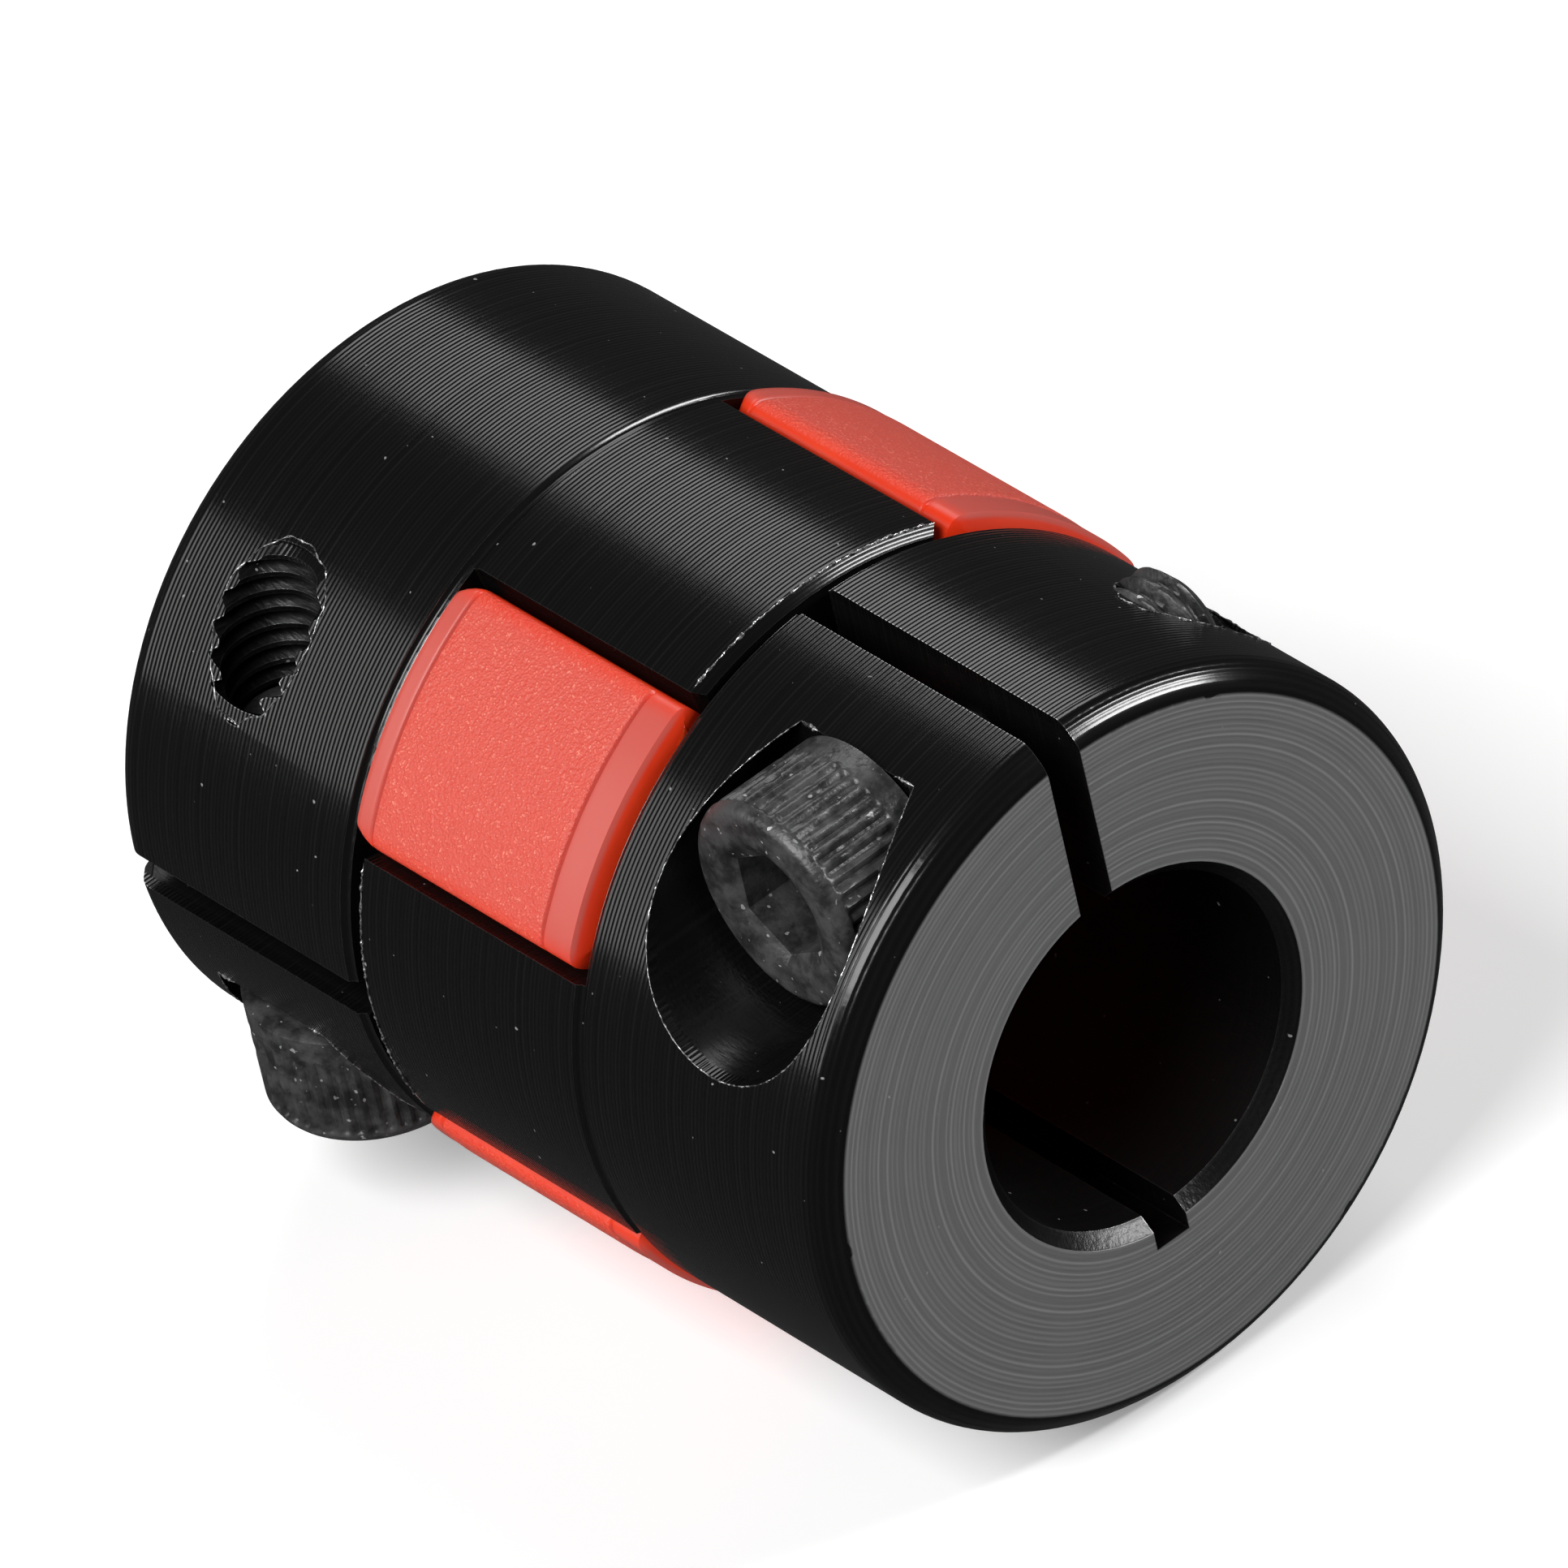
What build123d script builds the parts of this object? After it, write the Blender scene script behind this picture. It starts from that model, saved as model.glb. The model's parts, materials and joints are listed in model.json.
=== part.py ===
from build123d import *
import os
from math import cos, radians, sin, sqrt

# Four-lobe jaw coupling with two clamping hubs, in millimetres.
# The origin is on the shaft axis, midway between the two end faces. +X runs along
# the axis to the front hub's end face, and +Z runs out along the front hub's slit.

# Whole coupling
outer_diameter = 30.0
overall_length = 40.0
bore_diameter = 14.0

# Jaws and the space between the two hub bodies
jaws_per_hub = 2
jaw_space = 13.0
jaw_tip_gap = 0.5
jaw_half_angle = 23.0
jaw_wall = 1.3          # from the bore out to the inside of the jaws
flank_bow = 0.35        # the jaws' flanks are hollow and the lobes' flanks round

# Edges of the hubs
rim_chamfer = 0.85
rim_softness = 0.9      # radius between the rim's chamfer and its two neighbours
bore_chamfer = 0.55
jaw_edge = 0.35
root_groove_width = 0.65
root_groove_depth = 0.2

# Spider
lobe_gap_angle = 2.0    # free angle between a lobe and each jaw beside it
lobe_overhang = 0.3     # the lobes stand this much outside the hubs
spider_end_gap = 0.2
ring_gap = 0.3
ring_wall = 2.75
ring_inset = 1.3        # the ring is this much shorter than the lobes at each end
lobe_corner = 0.8

# Clamping slit, and the relief groove across the bore from it
slit_width = 1.55
slit_offset = 0.5       # towards the screw's head, so that the thread gets more wall
relief_depth = 1.25

# Clamp screws, M5 x 0.8 with a hexagon socket
screw_diameter = 5.0
thread_pitch = 0.8
screw_from_end = 6.3
bore_to_screw_hole = 0.7
bore_to_pocket = 0.3
hole_clearance = 0.2
pocket_clearance = 0.65
core_clearance = 0.05
front_screw_length = 15.0
rear_screw_length = 12.0
rear_screw_turns_out = 1.0

# Worked out from the sizes above
outer_radius = outer_diameter / 2
bore_radius = bore_diameter / 2
body_face = jaw_space / 2
end_face = overall_length / 2
hub_length = end_face - body_face
jaw_tip = body_face - jaw_tip_gap
jaw_inner_radius = bore_radius + jaw_wall
lobe_count = 2 * jaws_per_hub
lobe_half_angle = 180 / lobe_count - jaw_half_angle - lobe_gap_angle
ring_radius = jaw_inner_radius - ring_gap

head_diameter = 1.5 * screw_diameter + 1.0
head_height = screw_diameter
head_chamfer = 0.4
socket_width = 0.8 * screw_diameter
socket_depth = 0.5 * screw_diameter
tap_radius = (screw_diameter - thread_pitch) / 2
thread_groove = 0.54 * thread_pitch
groove_crest = 0.76     # widths at the drill's wall and at the root, as shares of the pitch
groove_root = 0.12
hole_radius = screw_diameter / 2 + hole_clearance
pocket_radius = head_diameter / 2 + pocket_clearance
screw_x = end_face - screw_from_end
screw_height = bore_radius + bore_to_screw_hole + hole_radius
seat_distance = sqrt((bore_radius + bore_to_pocket) ** 2 - (screw_height - pocket_radius) ** 2)


def polar(radius, degrees):
    """Point at a radius and an angle from the sketch's own x axis."""
    return (radius * cos(radians(degrees)), radius * sin(radians(degrees)))


def sector(inner_radius, sector_radius, half_angle, bow):
    """Ring sector about the sketch's x axis, with flanks bowed outwards by bow."""
    with BuildSketch() as outline:
        with BuildLine():
            CenterArc((0, 0), sector_radius, -half_angle, 2 * half_angle)
            SagittaArc(polar(sector_radius, half_angle), polar(inner_radius, half_angle), bow)
            CenterArc((0, 0), inner_radius, -half_angle, 2 * half_angle)
            SagittaArc(polar(inner_radius, -half_angle), polar(sector_radius, -half_angle), bow)
        make_face()
    return outline.sketch


def thread_outline(length):
    """Half section of a tapped hole along the sketch's y axis: the drill with a groove a pitch."""
    root = tap_radius + thread_groove
    start, end = (1 - groove_crest) / 2, (1 + groove_crest) / 2
    root_start, root_end = (1 - groove_root) / 2, (1 + groove_root) / 2
    groove = [(tap_radius, start), (root, root_start), (root, root_end), (tap_radius, end)]
    turns = int(length / thread_pitch)
    points = [(0, 0), (tap_radius, 0)]
    points += [(r, (turn + t) * thread_pitch) for turn in range(turns) for r, t in groove]
    points += [(tap_radius, length), (0, length)]
    return points


def clamp_screw(length):
    """Cap screw along +Z: bearing face on the XY plane, head above it and shank below."""
    core = tap_radius - core_clearance
    head = head_diameter / 2
    with BuildPart() as screw:
        with BuildSketch(Plane.XZ):
            with BuildLine():
                Polyline(
                    (0, -length), (core - head_chamfer, -length), (core, head_chamfer - length),
                    (core, 0), (head, 0), (head, head_height - head_chamfer),
                    (head - head_chamfer, head_height), (0, head_height), close=True)
            make_face()
        revolve(axis=Axis.Z)
        with BuildSketch(Plane.XY.offset(head_height)):
            RegularPolygon(socket_width / 2, 6, major_radius=False)
        extrude(amount=-socket_depth, mode=Mode.SUBTRACT)
    return screw.part


# Planes across the clamp screw of the front hub: one square to it, one along it
clamp_plane = Plane(origin=(screw_x, 0, screw_height), x_dir=(1, 0, 0), z_dir=(0, 1, 0))
thread_plane = Plane(origin=(screw_x, 0, screw_height), x_dir=(1, 0, 0), z_dir=(0, 0, 1))

with BuildPart() as front_hub:
    # Body, bored through
    with BuildSketch(Plane.YZ.offset(body_face)):
        Circle(outer_radius)
        Circle(bore_radius, mode=Mode.SUBTRACT)
    extrude(amount=hub_length)
    bore_edge, rim_edge = front_hub.faces().sort_by(Axis.X)[-1].edges().sort_by(SortBy.RADIUS)
    chamfer(rim_edge, length=rim_chamfer)
    chamfer(bore_edge, length=bore_chamfer)
    rim_cone = front_hub.faces().filter_by(GeomType.CONE).sort_by(SortBy.AREA)[-1]
    fillet(rim_cone.edges().filter_by(GeomType.CIRCLE), radius=rim_softness)

    # Two jaws, at +Y and -Y
    with BuildSketch(Plane.YZ.offset(-jaw_tip)):
        with PolarLocations(0, jaws_per_hub):
            add(sector(jaw_inner_radius, outer_radius, jaw_half_angle, -flank_bow))
    extrude(amount=jaw_tip + body_face)
    chamfer(front_hub.faces().group_by(Axis.X)[0].edges(), length=jaw_edge)

    # Shallow groove round the root of the jaws
    groove_radius = ((root_groove_width / 2) ** 2 + root_groove_depth ** 2) / (2 * root_groove_depth)
    with BuildSketch(Plane.XZ):
        with Locations((body_face, outer_radius - root_groove_depth + groove_radius)):
            Circle(groove_radius)
    revolve(axis=Axis.X, mode=Mode.SUBTRACT)

    # Slit from the bore out to the rim, and the relief groove opposite
    with BuildSketch(Plane.YZ.offset(body_face)):
        with Locations((-slit_offset, outer_radius / 2 + bore_radius / 2)):
            Rectangle(slit_width, outer_radius)
        with Locations((-slit_offset, -bore_radius / 2 - relief_depth / 2)):
            Rectangle(slit_width, bore_radius + relief_depth)
    extrude(amount=hub_length, mode=Mode.SUBTRACT)

    # Pocket for the head, clearance hole as far as the slit, tapped hole beyond it
    with BuildSketch(clamp_plane.offset(-seat_distance)):
        Circle(pocket_radius)
    extrude(amount=-outer_radius, mode=Mode.SUBTRACT)
    with BuildSketch(clamp_plane.offset(-seat_distance)):
        Circle(hole_radius)
    extrude(amount=seat_distance - slit_offset, mode=Mode.SUBTRACT)
    with BuildSketch(thread_plane):
        with BuildLine():
            Polyline(*thread_outline(outer_radius), close=True)
        make_face()
    revolve(axis=Axis(clamp_plane.origin, clamp_plane.z_dir), mode=Mode.SUBTRACT)

# The rear hub is the front hub's opposite hand, turned so that its jaws lie between
with BuildPart() as rear_hub:
    opposite_hand = mirror(front_hub.part, about=Plane.YZ, mode=Mode.PRIVATE)
    add(opposite_hand, rotation=(90, 0, 0))

with BuildPart() as spider:
    # Ring inside the jaws
    with BuildSketch(Plane.YZ.offset(body_face - spider_end_gap - ring_inset)):
        Circle(ring_radius)
        Circle(ring_radius - ring_wall, mode=Mode.SUBTRACT)
    extrude(amount=-2 * (body_face - spider_end_gap - ring_inset))

    # One lobe in each space between a front jaw and a rear jaw
    with BuildSketch(Plane.YZ.offset(body_face - spider_end_gap)):
        with PolarLocations(0, lobe_count, start_angle=180 / lobe_count):
            add(sector(ring_radius - ring_wall / 2, outer_radius + lobe_overhang,
                       lobe_half_angle, flank_bow))
    extrude(amount=-2 * (body_face - spider_end_gap))
    ends = spider.faces().filter_by(GeomType.PLANE).filter_by(Axis.X)
    outer_ends = ends.group_by(Axis.X)[0] + ends.group_by(Axis.X)[-1]
    chamfer(outer_ends.edges(), length=lobe_corner / 2)

with BuildPart() as front_clamp_screw:
    seat = Plane(origin=(screw_x, -seat_distance, screw_height), x_dir=(1, 0, 0), z_dir=(0, -1, 0))
    with Locations(seat.location):
        add(clamp_screw(front_screw_length))

with BuildPart() as rear_clamp_screw:
    head_drop = seat_distance + rear_screw_turns_out * thread_pitch
    seat = Plane(origin=(-screw_x, -screw_height, -head_drop), x_dir=(1, 0, 0), z_dir=(0, 0, -1))
    with Locations(seat.location):
        add(clamp_screw(rear_screw_length))

pieces = {
    "front_hub": front_hub,
    "rear_hub": rear_hub,
    "spider": spider,
    "front_clamp_screw": front_clamp_screw,
    "rear_clamp_screw": rear_clamp_screw,
}

os.makedirs("parts", exist_ok=True)
for name, piece in pieces.items():
    piece.part.label = name
    export_step(piece.part, f"parts/{name}.step")
    print(name, piece.part.bounding_box())
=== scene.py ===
# %% [markdown]
# # A jaw coupling with a red spider
#
# The real object joins two 14 mm shafts. Two black anodised aluminium hubs reach into each
# other with jaws, and a red polyurethane spider fills the space between the jaws. A cap screw
# closes each hub's slit on its shaft. The CAD model fixes the sizes; this file adds the
# surfaces, finishes, light and camera. The coupling's sizes are in millimetres, as on a
# drawing, and are multiplied by MM where Blender takes metres. The camera, the floor and the
# lights are placed in metres.

# %% Load the fixed frame
import bpy
import json
import numpy as np
from math import cos, pi, radians, sin, sqrt
from mathutils import Matrix, Vector


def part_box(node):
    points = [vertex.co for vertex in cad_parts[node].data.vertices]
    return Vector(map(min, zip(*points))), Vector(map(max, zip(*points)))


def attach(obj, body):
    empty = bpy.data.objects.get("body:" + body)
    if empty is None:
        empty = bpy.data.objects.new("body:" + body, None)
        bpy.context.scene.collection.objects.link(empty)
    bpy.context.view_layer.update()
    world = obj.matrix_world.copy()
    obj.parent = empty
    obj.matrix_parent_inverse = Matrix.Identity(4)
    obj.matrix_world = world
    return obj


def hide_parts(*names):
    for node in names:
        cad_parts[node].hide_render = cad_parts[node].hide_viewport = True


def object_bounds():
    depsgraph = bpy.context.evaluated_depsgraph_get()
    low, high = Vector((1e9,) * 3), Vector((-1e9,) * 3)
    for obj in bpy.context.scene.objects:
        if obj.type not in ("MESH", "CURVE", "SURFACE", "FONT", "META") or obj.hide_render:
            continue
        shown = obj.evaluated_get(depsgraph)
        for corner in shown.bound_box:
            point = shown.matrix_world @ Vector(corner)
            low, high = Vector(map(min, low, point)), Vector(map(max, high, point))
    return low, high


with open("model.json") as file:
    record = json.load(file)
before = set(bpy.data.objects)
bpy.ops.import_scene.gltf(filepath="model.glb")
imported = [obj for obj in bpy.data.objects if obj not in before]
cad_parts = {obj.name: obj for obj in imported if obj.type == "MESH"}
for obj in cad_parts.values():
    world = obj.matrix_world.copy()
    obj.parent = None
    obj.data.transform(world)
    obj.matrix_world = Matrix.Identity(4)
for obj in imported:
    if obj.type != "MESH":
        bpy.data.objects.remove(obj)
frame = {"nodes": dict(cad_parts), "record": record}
cad_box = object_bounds()
MM = 0.001

# %% [markdown]
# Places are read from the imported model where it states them: the outer radius from a hub's
# box, the bore from its mount, each screw's axis from its box. A new size in the CAD then
# carries through. What a box can't tell, such as a lobe's half angle, repeats the CAD's value.

# %% Read the driving sizes
hub_low, hub_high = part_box("front_hub")
outer_r = hub_high.y / MM
end_x = hub_high.x / MM
bore_r = frame["record"]["mounts"][0]["dims"]["r_mm"]
spider_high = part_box("spider")[1]
spider_x = spider_high.x / MM
lobe_half = radians(20)
lobe_r = spider_high.y / MM / cos(radians(45) - lobe_half)
print(f"radius {outer_r:.2f}, end face at {end_x:.2f}, bore {bore_r}, lobes out to {lobe_r:.2f} mm")

# %% [markdown]
# ## The camera
#
# A long lens far away keeps the coupling's edges almost parallel. The camera is placed by its
# bearing, height angle and distance, and rolled a little, so that the coupling lies across the
# picture's diagonal. The Standard view shows colours as they are, so a white room stays white.

# %% Place the camera
camera_bearing, camera_height, camera_roll = radians(57.288), radians(38.031), radians(-13.411)
camera_distance = 1.0039
camera_slide = (-0.104 * MM, -2.142 * MM)
lens_mm, sensor_mm = 638.5, 36.0


def bearing(around, above):
    """Unit vector from the coupling: around 0 is -Y and a quarter turn is +X; above is from the floor."""
    return Vector((sin(around) * cos(above), -cos(around) * cos(above), sin(above)))


back = bearing(camera_bearing, camera_height)
level = Vector((cos(camera_bearing), sin(camera_bearing), 0))
upright = back.cross(level)
right = level * cos(camera_roll) + upright * sin(camera_roll)
top = upright * cos(camera_roll) - level * sin(camera_roll)
place = back * camera_distance - right * camera_slide[0] - top * camera_slide[1]

camera = bpy.data.objects.new("camera", bpy.data.cameras.new("camera"))
bpy.context.scene.collection.objects.link(camera)
camera.data.lens = lens_mm
camera.data.sensor_width = sensor_mm
camera.data.clip_start, camera.data.clip_end = 0.05, 50
axes = Matrix((right, top, back)).transposed().to_4x4()
camera.matrix_world = Matrix.Translation(place) @ axes
bpy.context.scene.camera = camera
bpy.context.scene.view_settings.view_transform = "Standard"
print("camera at", [round(c, 3) for c in place])

# %% [markdown]
# ## Floor and light
#
# Black metal shows only what it reflects. So the room is dim, and soft boxes stand where the
# turned cylinders mirror them to the camera: one high behind, and a longer one on the left. A
# narrow bright key catches the rims and chamfers, and a broad box overhead lights the spider.
# The floor is hidden from mirrored rays and glows a little for the camera alone, so that it
# looks almost white and doesn't lighten the hubs from below.

# %% Floor, room and soft boxes
floor_half = 6.0
floor_z = cad_box[0].z
floor_white, floor_glow = 0.9, 0.28
room_white, room_dim = 0.9, 0.05
floor_mesh = bpy.data.meshes.new("floor")
corners = [(x * floor_half, y * floor_half, floor_z) for x, y in ((-1, -1), (1, -1), (1, 1), (-1, 1))]
floor_mesh.from_pydata(corners, [], [(0, 1, 2, 3)])
floor = bpy.data.objects.new("floor", floor_mesh)
bpy.context.scene.collection.objects.link(floor)
floor.visible_glossy = False
floor_paint = bpy.data.materials.new("pale_floor")
floor_paint.use_nodes = True
floor_shader = floor_paint.node_tree.nodes["Principled BSDF"]
floor_shader.inputs["Base Color"].default_value = (floor_white, floor_white, floor_white, 1)
floor_shader.inputs["Roughness"].default_value = 0.8
floor_shader.inputs["Specular IOR Level"].default_value = 0.2
floor_shader.inputs["Emission Strength"].default_value = floor_glow
direct = floor_paint.node_tree.nodes.new("ShaderNodeLightPath").outputs["Is Camera Ray"]
floor_paint.node_tree.links.new(direct, floor_shader.inputs["Emission Color"])
floor_mesh.materials.append(floor_paint)

world = bpy.data.worlds.new("room")
bpy.context.scene.world = world
world.use_nodes = True
room = world.node_tree
seen, lit = room.nodes["Background"], room.nodes.new("ShaderNodeBackground")
seen.inputs["Color"].default_value = (room_white, room_white, room_white, 1)
lit.inputs["Color"].default_value = (room_dim, room_dim, room_dim, 1)
path, pick = room.nodes.new("ShaderNodeLightPath"), room.nodes.new("ShaderNodeMixShader")
room.links.new(path.outputs["Is Camera Ray"], pick.inputs[0])
room.links.new(lit.outputs[0], pick.inputs[1])
room.links.new(seen.outputs[0], pick.inputs[2])
room.links.new(pick.outputs[0], room.nodes["World Output"].inputs["Surface"])


def soft_box(name, direction, distance, size, radiance, lie=(1, 0, 0)):
    """Rectangular lamp facing the coupling, its first side along lie; power is radiance * pi * area."""
    lamp = bpy.data.lights.new(name, "AREA")
    lamp.shape = "RECTANGLE"
    lamp.size, lamp.size_y = size
    lamp.energy = radiance * pi * size[0] * size[1]
    box = bpy.data.objects.new(name, lamp)
    bpy.context.scene.collection.objects.link(box)
    away = Vector(direction).normalized()
    side = (Vector(lie) - away * away.dot(Vector(lie))).normalized()
    turn = Matrix((side, away.cross(side), away)).transposed().to_4x4()
    box.matrix_world = Matrix.Translation(away * distance) @ turn
    box.visible_camera = False


def round_axis(along, clock):
    """Direction with x part along, at clock degrees round the shaft from +Z towards +Y."""
    rest = sqrt(1 - along * along)
    return (along, rest * sin(radians(clock)), rest * cos(radians(clock)))


# The key is long and narrow, and lies along the directions that the top of the rim mirrors.
soft_box("key", (0.49, 0.70, 0.49), 0.6, (0.34, 0.065), 28, lie=(-0.41, 0.69, -0.59))
soft_box("right_strip", round_axis(-0.51, 31.5), 0.6, (0.22, 0.27), 3.6)
soft_box("left_strip", round_axis(-0.51, -58.5), 0.6, (0.21, 0.42), 2.8)
soft_box("overhead", (0.1, -0.65, 0.75), 0.8, (0.5, 0.5), 7.5)

# %% [markdown]
# ## Surfaces from grids
#
# Every new piece here is made of closed grids of points: one for a screw or the spider, and a
# small one for each burr. Columns go round, and rows are stations along. Computing all points
# as one array keeps the shape a formula. The rows close at a pole at each end, as on a screw,
# or the last row runs back into the first, as on a ring.

# %% Turn grids of points into one mesh object
def grid_faces(points, ring):
    """Corner points and faces of one grid, closed round its columns and over its ends."""
    rows, columns = points.shape[:2]
    index = np.arange(rows * columns).reshape(rows, columns)
    low, high = (index, np.roll(index, -1, axis=0)) if ring else (index[:-1], index[1:])
    quads = np.stack([low, np.roll(low, -1, 1), np.roll(high, -1, 1), high], -1).reshape(-1, 4)
    verts = points.reshape(-1, 3)
    a, b, c, d = (verts[quads[:, k]] for k in range(4))
    inward = np.einsum("ij,ij->i", a, np.cross(b, c) + np.cross(c, d)).sum() < 0
    faces = quads.tolist()
    if not ring:
        verts = np.concatenate([verts, [points[0].mean(0), points[-1].mean(0)]])
        first, last = np.full(columns, rows * columns), np.full(columns, rows * columns + 1)
        start, end = index[0], index[-1]
        faces += np.stack([first, np.roll(start, -1), start], -1).tolist()
        faces += np.stack([last, end, np.roll(end, -1)], -1).tolist()
    if inward:
        faces = [face[::-1] for face in faces]
    return verts, faces


def grid_piece(name, grids, ring=False, sharp=35):
    """Object whose mesh is all the grids, each grid[row, column] in mm."""
    verts, faces, start = [], [], 0
    for grid in grids:
        grid_verts, grid_quads = grid_faces(grid, ring)
        faces += [[start + corner for corner in face] for face in grid_quads]
        verts.append(grid_verts)
        start += len(grid_verts)
    mesh = bpy.data.meshes.new(name)
    mesh.from_pydata((np.concatenate(verts) * MM).tolist(), [], faces)
    mesh.shade_smooth()
    mesh.set_sharp_from_angle(angle=radians(sharp))
    piece = bpy.data.objects.new(name, mesh)
    bpy.context.scene.collection.objects.link(piece)
    print(f"{name}: {len(mesh.vertices)} points, {len(mesh.polygons)} faces")
    return piece


# %% [markdown]
# ## Node helpers and shared finishes
#
# Each surface effect is a node group with named inputs and outputs, so that any material can
# use it: the fine lines that a lathe leaves, the small marks that handling leaves, worn bright
# edges, and a sandy grain. The helpers below keep the lines that wire the nodes short.

# %% Small helpers for shader nodes
def new_material(name):
    """Material with its Principled BSDF, the tree and the Object coordinates."""
    material = bpy.data.materials.new(name)
    material.use_nodes = True
    tree = material.node_tree
    shader = tree.nodes["Principled BSDF"]
    coordinates = tree.nodes.new("ShaderNodeTexCoord").outputs["Object"]
    return material, tree, shader, coordinates


def math(tree, operation, a, b=0.0, c=0.0, clamp=False):
    """One Math node; each input is a number or a socket."""
    node = tree.nodes.new("ShaderNodeMath")
    node.operation = operation
    node.use_clamp = clamp
    for socket, value in zip(node.inputs, (a, b, c)):
        if isinstance(value, (int, float)):
            socket.default_value = value
        else:
            tree.links.new(value, socket)
    return node.outputs[0]


def step(tree, value, low, high):
    """Smooth rise from 0 at low to 1 at high."""
    node = tree.nodes.new("ShaderNodeMapRange")
    node.interpolation_type = "SMOOTHSTEP"
    tree.links.new(value, node.inputs["Value"])
    node.inputs["From Min"].default_value = low
    node.inputs["From Max"].default_value = high
    return node.outputs[0]


def noise(tree, vector, scale, detail=3.0, roughness=0.55):
    """Noise texture's factor at the given points."""
    node = tree.nodes.new("ShaderNodeTexNoise")
    tree.links.new(vector, node.inputs["Vector"])
    node.inputs["Scale"].default_value = scale
    node.inputs["Detail"].default_value = detail
    node.inputs["Roughness"].default_value = roughness
    return node.outputs["Fac"]


def mix_colour(tree, factor, a, b):
    """Colour a where factor is 0 and b where it is 1."""
    node = tree.nodes.new("ShaderNodeMix")
    node.data_type = "RGBA"
    tree.links.new(factor, node.inputs[0])
    for socket, value in ((node.inputs[6], a), (node.inputs[7], b)):
        if isinstance(value, tuple):
            socket.default_value = (*value, 1)
        else:
            tree.links.new(value, socket)
    return node.outputs[2]


def stretched(tree, vector, scale):
    """The points with each axis multiplied, to draw a pattern out along one of them."""
    node = tree.nodes.new("ShaderNodeVectorMath")
    node.operation = "MULTIPLY"
    tree.links.new(vector, node.inputs[0])
    node.inputs[1].default_value = scale
    return node.outputs[0]


def radius_and_x(tree, coordinates):
    """Distance from the shaft axis, and x, both in metres."""
    split = tree.nodes.new("ShaderNodeSeparateXYZ")
    tree.links.new(coordinates, split.inputs[0])
    squares = math(tree, "MULTIPLY", split.outputs["Y"], split.outputs["Y"])
    squares = math(tree, "MULTIPLY_ADD", split.outputs["Z"], split.outputs["Z"], squares)
    return math(tree, "SQRT", squares), split.outputs["X"]


def bump(tree, height):
    """Normal bent by a height in metres."""
    node = tree.nodes.new("ShaderNodeBump")
    node.inputs["Distance"].default_value = 1.0
    tree.links.new(height, node.inputs["Height"])
    return node.outputs["Normal"]


def group_tree(name, inputs, outputs):
    """Empty node group with named value inputs (a vector where the default is None) and outputs."""
    tree = bpy.data.node_groups.new(name, "ShaderNodeTree")
    for label, default in inputs.items():
        kind = "NodeSocketVector" if default is None else "NodeSocketFloat"
        socket = tree.interface.new_socket(label, in_out="INPUT", socket_type=kind)
        if default is not None:
            socket.default_value = default
    for label in outputs:
        tree.interface.new_socket(label, in_out="OUTPUT", socket_type="NodeSocketFloat")
    return tree, tree.nodes.new("NodeGroupInput").outputs, tree.nodes.new("NodeGroupOutput").inputs


def place_group(tree, group, **values):
    """The group's outputs, with sockets linked or set by name (underscores stand for spaces)."""
    node = tree.nodes.new("ShaderNodeGroup")
    node.node_tree = group
    for label, value in values.items():
        socket = node.inputs[label.replace("_", " ")]
        if isinstance(value, (int, float)):
            socket.default_value = value
        else:
            tree.links.new(value, socket)
    return node.outputs


# %% [markdown]
# A lathe tool leaves one groove each turn. Its height is a sine of the distance along the
# feed over the pitch. Two noises make it real: a slow one shifts the phase a little, and one
# that changes from turn to turn makes some grooves deeper than others.

# %% Lathe lines
lathe, g_in, g_out = group_tree(
    "lathe_lines", {"Vector": None, "Feed": 0.0, "Pitch": 0.0002, "Wander": 0.6}, ["Height", "Shade"])
wander = math(lathe, "MULTIPLY", noise(lathe, g_in["Vector"], 90.0, 2.0), g_in["Wander"])
turns = math(lathe, "DIVIDE", g_in["Feed"], g_in["Pitch"])
phase = math(lathe, "MULTIPLY", math(lathe, "ADD", turns, wander), 2 * pi)
wave = math(lathe, "MULTIPLY_ADD", math(lathe, "SINE", phase), 0.5, 0.5)
each_turn = lathe.nodes.new("ShaderNodeTexNoise")
each_turn.noise_dimensions = "1D"
each_turn.inputs["Scale"].default_value = 1.0
each_turn.inputs["Detail"].default_value = 2.0
lathe.links.new(math(lathe, "MULTIPLY", turns, 0.9), each_turn.inputs["W"])
depth = step(lathe, each_turn.outputs["Fac"], 0.25, 0.75)
uneven = math(lathe, "MULTIPLY_ADD", depth, 0.2, 0.8)
lathe.links.new(math(lathe, "MULTIPLY", wave, uneven), g_out["Height"])
# Shade follows the grooves. The hubs use it for painted groove shading in the colour, and for the
# roughness.
lathe.links.new(math(lathe, "MULTIPLY", wave, depth), g_out["Shade"])

# %% [markdown]
# Handled metal carries dust and tiny nicks. Both are the peaks of a fine noise: only where it
# passes a high threshold is there a mark.

# %% Small marks
marks, g_in, g_out = group_tree(
    "small_marks", {"Vector": None, "Size": 1600.0, "Threshold": 0.72}, ["Mask"])
fine = marks.nodes.new("ShaderNodeTexNoise")
fine.inputs["Detail"].default_value = 1.0
marks.links.new(g_in["Vector"], fine.inputs["Vector"])
marks.links.new(g_in["Size"], fine.inputs["Scale"])
over = math(marks, "SUBTRACT", fine.outputs["Fac"], g_in["Threshold"])
marks.links.new(math(marks, "MULTIPLY", over, 40.0, clamp=True), g_out["Mask"])

# %% [markdown]
# Edges wear bright first. The Bevel node gives the normal that the surface would have if its
# edges were rounded by Reach. On a flat place it is the true normal; at an edge it has turned
# away, so one minus the dot product of the two marks the edge. A noise makes the mark ragged.

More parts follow.
